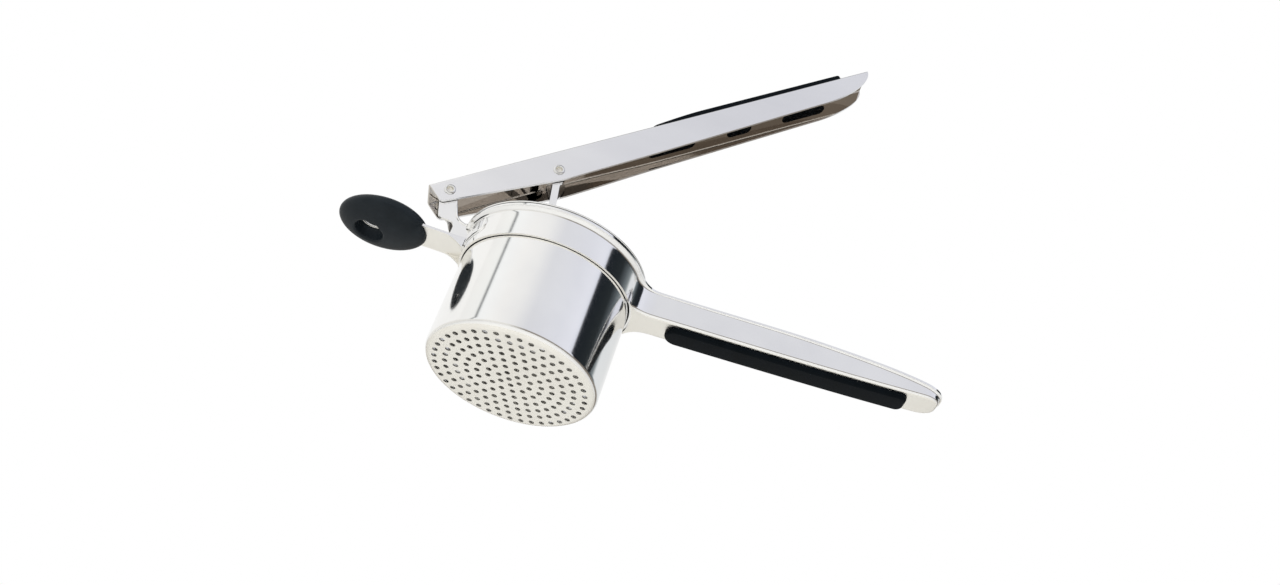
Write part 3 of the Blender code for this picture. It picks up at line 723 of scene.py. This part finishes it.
# ---------------------------------------------------------------- front bracket, arm, knob, rivets
def build_bracket():
    pivot = (PIVOT.x - AXIS_X, PIVOT.z)
    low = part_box("pivot_bracket")[0]
    back = -(COLLAR_RADIUS + 0.05 * MM)
    lip_back = -(COLLAR_RADIUS + LIP_FLARE)
    neck = -(COLLAR_RADIUS + EAR_NECK)
    rear = arc((lip_back, RIM_Z + EAR_FILLET - 0.2 * MM), EAR_FILLET, -90, -165, 12)
    points = [(back, low.z), (back, LIP_Z - LIP_HEIGHT), (lip_back + 0.6 * MM, LIP_Z - 1.4 * MM)]
    points += rear + arc(pivot, EYE_RADIUS, -12, 200, 24)
    corner = (pivot[0] + EAR_CORNER[0], pivot[1] - EAR_CORNER[1])
    points += arc(corner, EAR_CORNER_ROUND, 200, 270, 8)
    step = (neck - EAR_STEP_ROUND, corner[1] - EAR_STEP)
    points += arc(step, EAR_STEP_ROUND, 90, 0, 8) + [(neck, low.z)]
    ears = prism("pivot_bracket_ears", points, EAR_OUTSIDE, hopper_place)
    inside = EAR_OUTSIDE - SHEET
    cut(ears, block((-0.2, -inside, 0.0), (back - SHEET, inside, 0.2), hopper_place))
    trim = [(pivot[0] + x * MM, pivot[1] + z * MM) for x, z in FAR_EAR_TRIM]
    cut(ears, prism("cutter", trim, LEVER_WIDTH / 2, hopper_place, middle=LEVER_WIDTH / 2))
    cut(ears, rivet_cutter(pivot, hopper_place))
    soften(ears, 0.28 * MM, 3)
    present(ears, "root", (polished,), ("pivot_bracket",))
    for side in (-1.0, 1.0):
        build_ear_roll(rear, side)


def build_ear_roll(rear, side):
    """The rolled rear edge of one ear, running out of the collar's lip and up to the pivot."""
    work = bmesh.new()
    y = side * (EAR_OUTSIDE - 0.1 * MM)
    foot_x, foot_z = rear[0]
    path = [Vector((foot_x + ahead * MM, y + side * out * MM, foot_z + up * MM))
            for ahead, up, out in ROLL_LEAD]
    path += [Vector((x, y, z)) for x, z in rear]
    path.append(path[-1] + (path[-1] - path[-2]).normalized() * ROLL_END)
    tube(work, path, ROLL_RADIUS, 14)
    roll = shape("ear_roll_%s" % ("left" if side > 0 else "right"), work, hopper_place)
    present(roll, "root", (polished,), (), 50.0)


def tube(work, path, radius, sides):
    """A round tube along path with closed ends, added to work."""
    rings = []
    for i, spot in enumerate(path):
        along = (path[min(i + 1, len(path) - 1)] - path[max(i - 1, 0)]).normalized()
        across = along.cross(Vector((0.0, 1.0, 0.0)))
        if across.length < 1e-6:
            across = Vector((1.0, 0.0, 0.0))
        across.normalize()
        other = along.cross(across).normalized()
        size = radius * (0.55 if i in (0, len(path) - 1) else 1.0)
        rings.append([work.verts.new(spot + (across * math.cos(a) + other * math.sin(a)) * size)
                      for a in [2 * math.pi * k / sides for k in range(sides)]])
    for a, b in zip(rings, rings[1:]):
        for k in range(sides):
            work.faces.new((a[k], a[(k + 1) % sides], b[(k + 1) % sides], b[k]))
    work.faces.new(rings[0])
    work.faces.new(rings[-1])
    bmesh.ops.recalc_face_normals(work, faces=work.faces)


def build_wing():
    """The bracket's plate wraps round the collar's front as a pressed tab with rounded ends."""
    around, across = 72, 14
    middle, tall = (WING_LOW + WING_HIGH) / 2, WING_HIGH - WING_LOW
    work = bmesh.new()
    layers = {}
    for layer in ("face", "back"):
        for i in range(around + 1):
            place = mix(-1.0, 1.0, i / around)
            rounding = max(0.0, (abs(place) - WING_END[0]) / WING_END[1])
            half = max(0.02, math.sqrt(max(0.0, 1.0 - rounding ** 2)))
            for k in range(across + 1):
                side = mix(-1.0, 1.0, k / across)
                edge = min((1.0 - abs(side)) / WING_EDGE[0], (1.0 - abs(place)) / WING_EDGE[1], 1.0)
                lift = WING_PROUD * math.sqrt(1.0 - (1.0 - edge) ** 2)
                radius = COLLAR_RADIUS + (lift - WING_SUNK if layer == "face" else WING_BURIED)
                turn = math.pi + WING_REACH * place
                spot = (radius * math.cos(turn), radius * math.sin(turn), middle + side * half * tall / 2)
                layers[(layer, i, k)] = work.verts.new(spot)
    for layer in ("face", "back"):
        for i in range(around):
            for k in range(across):
                corners = ((i, k), (i + 1, k), (i + 1, k + 1), (i, k + 1))
                work.faces.new([layers[(layer, *corner)] for corner in corners])
    border = [(i, 0) for i in range(around)] + [(around, k) for k in range(across)]
    border += [(i, across) for i in range(around, 0, -1)] + [(0, k) for k in range(across, 0, -1)]
    for first, second in zip(border, border[1:] + border[:1]):
        work.faces.new((layers[("face", *first)], layers[("face", *second)],
                        layers[("back", *second)], layers[("back", *first)]))
    bmesh.ops.recalc_face_normals(work, faces=work.faces)
    wing = shape("bracket_wing", work, hopper_place)
    present(wing, "root", (polished,), (), 60.0)


def build_arm():
    """A flat tongue with side flanges, which deepen along a sine towards the collar."""
    low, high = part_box("rest_arm")
    back = high.x - AXIS_X + ARM_OVERLAP
    start = -(COLLAR_RADIUS + ARM_FLANGE_REACH)
    end = low.x - AXIS_X
    top = high.z
    tongue = top - SHEET
    half = high.y
    points = [(end, top), (back, top)]
    for i in range(ARM_STEPS + 1):
        share = i / ARM_STEPS
        points.append((mix(back, start, share), mix(low.z, tongue, math.sin(share * math.pi / 2))))
    points.append((end, tongue))
    arm = prism("rest_arm_channel", points, half, hopper_place)
    hollow = [(2 * start, 0.0), (0.0, 0.0), (0.0, tongue), (2 * start, tongue)]
    cut(arm, prism("cutter", hollow, half - SHEET, hopper_place))
    soften(arm, 0.3 * MM, 3)
    present(arm, "root", (satin, lever_steel), ("rest_arm",))
    for face in arm.data.polygons:
        if abs(face.normal.y) > 0.7 and abs(face.center.y) > half - 0.4 * MM:
            face.material_index = 1


def build_knob():
    """An ellipsoid with a hanging hole: each column runs from the hole over one face to the edge and back."""
    low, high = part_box("rest_knob")
    center = (low + high) / 2
    long_half, wide_half, tall_half = KNOB_HALVES
    hole, offset, lip = KNOB_HOLE, KNOB_HOLE_AT, KNOB_LIP
    around = 96
    work = bmesh.new()
    columns = []
    for i in range(around):
        turn = 2 * math.pi * i / around
        c, s = math.cos(turn), math.sin(turn)
        qa = (c / long_half) ** 2 + (s / wide_half) ** 2
        qb = 2 * offset * c / long_half ** 2
        qc = (offset / long_half) ** 2 - 1.0
        edge = (-qb + math.sqrt(qb * qb - 4 * qa * qc)) / (2 * qa)

        def face_height(r):
            x, y = offset + r * c, r * s
            return tall_half * math.sqrt(max(0.0, 1.0 - (x / long_half) ** 2 - (y / wide_half) ** 2))

        half = [(hole, 0.0), (hole, 0.45 * face_height(hole))]
        shoulder = face_height(hole + lip)
        for k in range(7):
            bend = math.pi / 2 * k / 6
            half.append((hole + lip * (1.0 - math.cos(bend)), shoulder - lip * (1.0 - math.sin(bend))))
        for k in range(1, 25):
            r = mix(hole + lip, edge, math.sin(math.pi / 2 * k / 24))
            half.append((r, face_height(r) if k < 24 else 0.0))
        column = half + [(r, -z) for r, z in reversed(half[1:-1])]
        columns.append([work.verts.new((offset + r * c, r * s, z)) for r, z in column])
    for i in range(around):
        a, b = columns[i], columns[(i + 1) % around]
        for k in range(len(a)):
            j = (k + 1) % len(a)
            work.faces.new((a[k], a[j], b[j], b[k]))
    bmesh.ops.recalc_face_normals(work, faces=work.faces)
    place = Matrix.Translation(center) @ Matrix.Rotation(-KNOB_TILT, 4, "Y")
    knob = shape("rest_knob_grip", work, place)
    arm_low, arm_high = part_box("rest_arm")
    tongue = arm_high.z - SHEET
    slit = block((arm_low.x - GAP, -arm_high.y - SLIT_CLEAR, tongue - SLIT_CLEAR),
                 (center.x + long_half + 0.01, arm_high.y + SLIT_CLEAR, tongue + SHEET + SLIT_CLEAR), None)
    cut(knob, slit)
    present(knob, "root", (knob_rubber,), ("rest_knob",), 45.0)


def build_tongue_eye():
    """The eye of the arm's tongue, which lines the hanging hole at mid height."""
    low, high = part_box("rest_knob")
    center = (low + high) / 2
    inner, outer = TONGUE_EYE
    half, bend = SHEET / 2, TONGUE_EYE_ROUND
    profile = arc((inner + bend, half - bend), bend, 90, 180, 4)
    profile += arc((inner + bend, bend - half), bend, 180, 270, 4)
    profile += [(outer, -half), (outer, half)]
    place = Matrix.Translation((center.x + KNOB_HOLE_AT, 0.0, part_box("rest_arm")[1].z - half))
    eye = shape("tongue_eye", lathe(profile, 72, closed=True), place)
    present(eye, "root", (satin,), ())


def build_rivet(name, node, body, center, place):
    """A rivet's shank and its two rolled heads, each with a shallow closed recess."""
    cheek = LEVER_WIDTH / 2
    floor = cheek - RIVET_RECESS
    upper = [(0.0, floor), (RIVET_BORE - RIVET_CORNER, floor), (RIVET_BORE, floor + RIVET_CORNER)]
    upper += arc((RIVET_BORE + RIVET_ROLL, cheek + 0.25 * MM), RIVET_ROLL, 180, 75, 7)
    upper += arc((RIVET_HEAD - RIVET_SHOULDER, cheek + 0.1 * MM), RIVET_SHOULDER, 70, 0, 6)
    upper += [(RIVET_HEAD, cheek + 0.03 * MM), (RIVET_RADIUS, cheek + 0.02 * MM)]
    profile = upper + [(radius, -height) for radius, height in reversed(upper)]
    work = lathe(profile, 64)
    turn = Matrix.Translation((center[0], 0.0, center[1])) @ Matrix.Rotation(math.pi / 2, 4, "X")
    ring = shape(name, work, place @ turn)
    present(ring, body, (rivet_steel, satin), (node,), 50.0)
    inverse = (place @ turn).inverted()
    for face in ring.data.polygons:
        if (inverse @ face.center).xy.length < RIVET_BORE + 0.02 * MM:
            face.material_index = 1


# ---------------------------------------------------------------- lever
def lever_outline():
    belly = PIVOT_FROM_NOSE + lever_span()[0]
    slant, nose_depth, nose_round = 1.3 * MM, 11.3 * MM, 2.5 * MM
    tail_round, tail_depth, belly_depth = 36.0 * MM, 12.6 * MM, 16.95 * MM
    tail = LEVER_LENGTH - tail_round
    nose = arc((slant + nose_round, nose_round - nose_depth), nose_round, 180, 262, 8)
    sweep = [(tail + tail_round * math.cos(a), tail_depth * math.sin(a))
             for a in [-math.pi / 2 + math.pi / 2 * i / 22 for i in range(23)]]
    points = [(0.0, 0.0)] + nose + [(belly - 3 * MM, -belly_depth + 0.25 * MM), (belly, -belly_depth)] + sweep
    return [(x - PIVOT_FROM_NOSE, z + PIVOT_DEPTH) for x, z in points]


def lever_span():
    """The plunger's pivot in the lever's own frame: along the lever, and out of its top face."""
    local = lever_place.inverted() @ PLUNGER_PIVOT
    return local.x, local.z


def stadium(start, end, width):
    radius, steps = width / 2, 14
    return (arc((end - radius, 0.0), radius, -90, 90, steps)
            + arc((start + radius, 0.0), radius, 90, 270, steps))


def toe_in(lever):
    """Past the plunger's pivot the flanges lean inwards a little, to sit in the hand."""
    first, last, steps = 58.0 * MM, 108.0 * MM, 8
    lean = math.tan(math.radians(3.0))
    inverse = lever_place.inverted()
    work = bmesh.new()
    work.from_mesh(lever.data)
    work.transform(inverse)
    for i in range(steps + 1):
        everything = work.verts[:] + work.edges[:] + work.faces[:]
        bmesh.ops.bisect_plane(work, geom=everything, dist=1e-7, plane_no=(1.0, 0.0, 0.0),
                               plane_co=(mix(first, last, i / steps), 0.0, 0.0))
    for vert in work.verts:
        drop = max(0.0, PIVOT_DEPTH - vert.co.z)
        shift = drop * lean * ease((vert.co.x - first) / (last - first))
        vert.co.y -= math.copysign(shift, vert.co.y)
    work.transform(lever_place)
    work.to_mesh(lever.data)
    work.free()


def build_lever():
    work = extruded(lever_outline(), LEVER_WIDTH / 2)
    top = [e for e in work.edges if all(v.co.z > PIVOT_DEPTH - 1e-5 for v in e.verts)
           and e.verts[0].co.y * e.verts[1].co.y > 0]
    bmesh.ops.bevel(work, geom=top, offset=LEVER_FOLD, segments=8, profile=0.5, affect="EDGES")
    lever = shape("lever_channel", work, lever_place)
    hollow = bmesh.new()
    bmesh.ops.create_cube(hollow, size=1.0)
    front, rear = -0.05, LEVER_LENGTH + 0.05
    low, high = -0.06, PIVOT_DEPTH - SHEET
    for vert in hollow.verts:
        vert.co = ((front, rear)[vert.co.x > 0], (-LEVER_INSIDE, LEVER_INSIDE)[vert.co.y > 0],
                   (low, high)[vert.co.z > 0])
    inner = [e for e in hollow.edges if all(v.co.z > high - 1e-6 for v in e.verts)
             and e.verts[0].co.y * e.verts[1].co.y > 0]
    bmesh.ops.bevel(hollow, geom=inner, offset=0.6 * MM, segments=5, profile=0.5, affect="EDGES")
    cut(lever, shape("cutter", hollow, lever_place))
    for center in ((0.0, 0.0), lever_span()):
        cut(lever, rivet_cutter(center, lever_place))
    for start, end in SLOTS:
        plan = stadium(start - PIVOT_FROM_NOSE, end - PIVOT_FROM_NOSE, SLOT_WIDTH)
        cut(lever, prism("cutter", plan, 3 * MM, lever_place, False, PIVOT_DEPTH - SHEET / 2))
    toe_in(lever)
    soften(lever, 0.22 * MM, 2)
    present(lever, "lever", (lever_steel, lever_shaded_inside_steel), ("upper_handle",), 30.0)
    # faces inside the channel and under the web take the darker copy of the steel, as painted shade
    inverse = lever_place.inverted()
    for face in lever.data.polygons:
        spot = inverse @ face.center
        turned_in = (inverse.to_3x3() @ face.normal).y * spot.y < 0.0
        under_web = abs(spot.y) < LEVER_INSIDE - 0.7 * MM and spot.z < PIVOT_DEPTH - SHEET + 0.05 * MM
        if under_web or turned_in and spot.z < PIVOT_DEPTH - SHEET:
            face.material_index = 1


def build_upper_grip():
    start, end = (value - PIVOT_FROM_NOSE for value in UPPER_GRIP)
    half = LEVER_WIDTH / 2 - 1.0 * MM
    thick, lead, length = 2.8 * MM, 0.6 * MM, 32.0 * MM
    edge = 1.0 * MM
    base = PIVOT_DEPTH + 0.03 * MM

    def height(x, level):
        full = thick
        if x < start + length:
            full = mix(lead, thick, ease(0.5 + 0.5 * (x - start) / length) * 2 - 1.0)
        return base + level / thick * full

    levels = pad_levels(thick, edge, half, 0.02 * MM, 0.5)

    def plan(inset):
        return rounded_plan(start, end, half, 5.0 * MM, 1.8 * MM, inset)

    grip = shape("upper_grip_pad", pad(plan, levels, height), lever_place)
    for first, last in SLOTS:
        outline = stadium(first - PIVOT_FROM_NOSE + 0.04 * MM, last - PIVOT_FROM_NOSE - 0.04 * MM,
                          SLOT_WIDTH - 0.08 * MM)
        key = prism("cutter", outline, 0.5 * (SHEET + 1.0 * MM), lever_place, False,
                    base - 0.5 * SHEET + 0.35 * MM)
        cut(grip, key, "UNION")
    present(grip, "lever", (pad_rubber,), ("upper_grip",), 50.0)


# ---------------------------------------------------------------- plunger
def build_plunger():
    inverse = plunger_place.inverted()
    disc = frame["nodes"]["plunger_disc"]
    local = [inverse @ v.co for v in disc.data.vertices]
    floor = min(v.z for v in local)
    middle = (min(v.x for v in local) + max(v.x for v in local)) / 2
    radius = (max(v.x for v in local) - min(v.x for v in local)) / 2
    sheet, rim, taper = 1.2 * MM, 4.5 * MM, 0.4 * MM
    corner = 1.8 * MM
    profile = [(0.0, sheet), (radius * 0.42, sheet)]
    profile += [(radius * 0.42 + 1.2 * MM, sheet + 0.5 * MM), (radius * 0.72, sheet + 0.5 * MM),
                (radius * 0.72 + 1.2 * MM, sheet)]
    profile += arc((radius - taper - sheet - 0.8 * MM, sheet + 0.8 * MM), 0.8 * MM, -90, 0, 6)
    profile += arc((radius - taper - sheet / 2, rim - sheet / 2), sheet / 2, 180, 0, 8)
    profile += arc((radius - corner, corner), corner, 0, -90, 8)
    profile += [(radius * 0.72 + 1.2 * MM, 0.0), (radius * 0.72, 0.5 * MM),
                (radius * 0.42 + 1.2 * MM, 0.5 * MM), (radius * 0.42, 0.0), (0.0, 0.0)]
    work = lathe(profile, 144)
    dish = shape("plunger_dish", work,
                 plunger_place @ Matrix.Translation((middle, 0.0, floor)))
    present(dish, "plunger", (satin,), ("plunger_disc",), 40.0)

    half = LEVER_INSIDE - 0.45 * MM
    depth = 3.4 * MM
    foot = floor + sheet + 0.02 * MM
    neck = -9.0 * MM
    wide = 4.6 * MM
    points = arc((0.0, 0.0), wide, -28, 208, 26)
    points += arc((-depth / 2 - 5.0 * MM, neck), 5.0 * MM, 40, 0, 5)
    points += [(-depth / 2, foot), (depth / 2, foot)]
    points += arc((depth / 2 + 5.0 * MM, neck), 5.0 * MM, 180, 140, 5)
    stem = prism("stem_channel", points, half, plunger_place)
    hollow = [(-depth / 2 + SHEET, foot - 0.01), (0.02, foot - 0.01), (0.02, 0.02), (-0.02, 0.02),
              (-0.02, neck), (-depth / 2 + SHEET, neck - 3.0 * MM)]
    cut(stem, prism("cutter", hollow, half - SHEET, plunger_place))
    cut(stem, rivet_cutter((0.0, 0.0), plunger_place))
    plate = prism("cutter", stadium(middle - 9.0 * MM, middle + 9.0 * MM, 2 * half), SHEET / 2, plunger_place,
                  False, foot + SHEET / 2)
    cut(stem, plate, "UNION")
    soften(stem, 0.25 * MM, 2)
    present(stem, "plunger", (polished,), ("plunger_stem",))


# ---------------------------------------------------------------- studio
PANELS = ((-180, (0.96, 0.95, 0.92)), (-157.8, (1.00, 1.00, 0.97)), (-156.9, (0.03, 0.04, 0.045)),
          (-155.0, (0.05, 0.06, 0.065)), (-154.0, (1.02, 1.03, 1.02)), (-128, (0.97, 0.96, 0.94)),
          (-106, (0.90, 0.895, 0.89)), (-88, (0.76, 0.765, 0.80)), (-50, (0.78, 0.79, 0.85)),
          (-30, (0.84, 0.85, 0.92)), (-22.5, (0.80, 0.82, 0.90)), (-21, (0.009, 0.012, 0.017)),
          (-12, (0.014, 0.018, 0.022)), (6, (0.022, 0.027, 0.030)), (16, (0.09, 0.105, 0.115)),
          (26, (0.22, 0.25, 0.26)), (31, (0.80, 0.82, 0.83)), (60, (0.80, 0.81, 0.81)),
          (100, (0.96, 0.96, 0.95)), (180, (1.02, 1.01, 0.98)))     # azimuth in degrees, colour
CREAM, DIM, ROOF = (0.87, 0.855, 0.805), (0.27, 0.24, 0.205), (0.20, 0.21, 0.22)
WHITE, BLACK = (1.0,) * 3, (0.0,) * 3


def blended(nodes, factor, first, second):
    """A mix of two colours, each a tuple or a socket."""
    node = nodes.add("ShaderNodeMix", data_type="RGBA")
    for name, value in (("A", first), ("B", second)):
        if isinstance(value, tuple):
            node.inputs[name].default_value = (*value, 1.0)
        else:
            nodes.join(value, node.inputs[name])
    nodes.join(factor, node.inputs["Factor"])
    return node.outputs["Result"]


def build_world():
    """A white studio: soft panels with a dark gap to the right and a thin dark strip to the left, a dim
    horizon over the right half, a cream ground and a darker roof. The camera itself sees plain white."""
    world = bpy.data.worlds.new("studio")
    world.use_nodes = True
    bpy.context.scene.world = world
    nodes = Nodes(world.node_tree)
    world.node_tree.nodes.clear()
    direction = nodes.add("ShaderNodeTexCoord")
    parts = nodes.add("ShaderNodeSeparateXYZ")
    nodes.join(direction.outputs["Generated"], parts.inputs["Vector"])
    azimuth = nodes.add("ShaderNodeMath", operation="ARCTAN2")
    nodes.join(parts.outputs["Y"], azimuth.inputs[0])
    nodes.join(parts.outputs["X"], azimuth.inputs[1])
    turn = nodes.add("ShaderNodeMapRange")
    turn.inputs["From Min"].default_value = -math.pi
    turn.inputs["From Max"].default_value = math.pi
    nodes.join(azimuth.outputs["Value"], turn.inputs["Value"])
    height = nodes.add("ShaderNodeMapRange")
    height.inputs["From Min"].default_value = -1.0
    nodes.join(parts.outputs["Z"], height.inputs["Value"])

    def by_azimuth(stops):
        places = [((degrees + 180) / 360, color) for degrees, color in stops]
        return ramp(nodes, turn.outputs["Result"], places).outputs["Color"]

    def by_elevation(stops):
        places = [((math.sin(math.radians(degrees)) + 1.0) / 2.0, color) for degrees, color in stops]
        return ramp(nodes, height.outputs["Result"], places).outputs["Color"]

    low = by_elevation(((-90, CREAM), (-26, CREAM), (-13, DIM), (90, DIM)))
    dusk = by_azimuth(((-110, BLACK), (-88, WHITE), (110, WHITE), (135, BLACK)))
    ground = blended(nodes, dusk, CREAM, low)
    above = blended(nodes, by_elevation(((4, BLACK), (15, WHITE))), ground, by_azimuth(PANELS))
    roofed = blended(nodes, by_elevation(((60, BLACK), (72, WHITE))), above, ROOF)
    studio = nodes.add("ShaderNodeBackground")
    nodes.join(roofed, studio.inputs["Color"])
    plain = nodes.add("ShaderNodeBackground")
    plain.inputs["Color"].default_value = (1.0, 1.0, 1.0, 1.0)
    seen = nodes.add("ShaderNodeLightPath")
    choice = nodes.add("ShaderNodeMixShader")
    nodes.join(seen.outputs["Is Camera Ray"], choice.inputs["Fac"])
    nodes.join(studio.outputs["Background"], choice.inputs[1])
    nodes.join(plain.outputs["Background"], choice.inputs[2])
    output = nodes.add("ShaderNodeOutputWorld")
    nodes.join(choice.outputs["Shader"], output.inputs["Surface"])


def area_light(name, spot, target, size, power, color):
    light = bpy.data.lights.new(name, "AREA")
    light.shape = "DISK"
    light.size = size
    light.energy = power
    light.color = color
    lamp = bpy.data.objects.new(name, light)
    bpy.context.scene.collection.objects.link(lamp)
    lamp.location = spot
    lamp.rotation_euler = (Vector(target) - Vector(spot)).to_track_quat("-Z", "Y").to_euler()
    lamp.visible_glossy = False


def build_studio():
    build_world()
    area_light("key", (-0.7, -0.9, 1.1), (-0.02, 0.0, 0.08), 0.7, 9.0, (1.0, 0.99, 0.97))
    area_light("fill", (0.9, -0.8, 0.5), (0.0, 0.0, 0.08), 0.8, 3.0, (0.95, 0.97, 1.0))
    work = bmesh.new()
    bmesh.ops.create_grid(work, x_segments=8, y_segments=8, size=3.0)
    floor = shape("floor", work, Matrix.Translation((0.0, 0.0, -0.46)))
    material, nodes, shader = new_finish("pale_floor", 0.0, (("Roughness", 0.6),))
    tone = noise(nodes, stretched(nodes, (1.0, 1.0, 1.0)), 3.0)
    colors = ramp(nodes, tone, ((0.3, (0.84, 0.83, 0.80)), (0.7, (0.87, 0.86, 0.83))))
    nodes.join(colors.outputs["Color"], shader.inputs["Base Color"])
    nodes.join(colors.outputs["Color"], shader.inputs["Emission Color"])
    shader.inputs["Emission Strength"].default_value = 0.2
    floor.data.materials.append(material)


def build_camera():
    camera = bpy.data.cameras.new("camera")
    camera.sensor_width = 36.0
    camera.lens = CAMERA_LENS
    camera.clip_start = 0.01
    eye = bpy.data.objects.new("camera", camera)
    bpy.context.scene.collection.objects.link(eye)
    back = Vector(CAMERA_BACK).normalized()
    right = Vector(CAMERA_RIGHT)
    right = (right - back * right.dot(back)).normalized()
    up = back.cross(right)
    turn = Matrix((right, up, back)).transposed().to_4x4()
    eye.matrix_world = Matrix.Translation(CAMERA_PLACE) @ turn
    bpy.context.scene.camera = eye


build_hopper()
build_frame()
build_lower_grip()
build_bracket()
build_wing()
build_arm()
build_knob()
build_tongue_eye()
build_rivet("pivot_rivet_ring", "pivot_rivet", "root", (PIVOT.x - AXIS_X, PIVOT.z), hopper_place)
build_lever()
build_upper_grip()
build_rivet("plunger_rivet_ring", "plunger_rivet", "lever", lever_span(), lever_place)
build_plunger()
build_studio()
build_camera()
bpy.context.scene.view_settings.view_transform = "Standard"
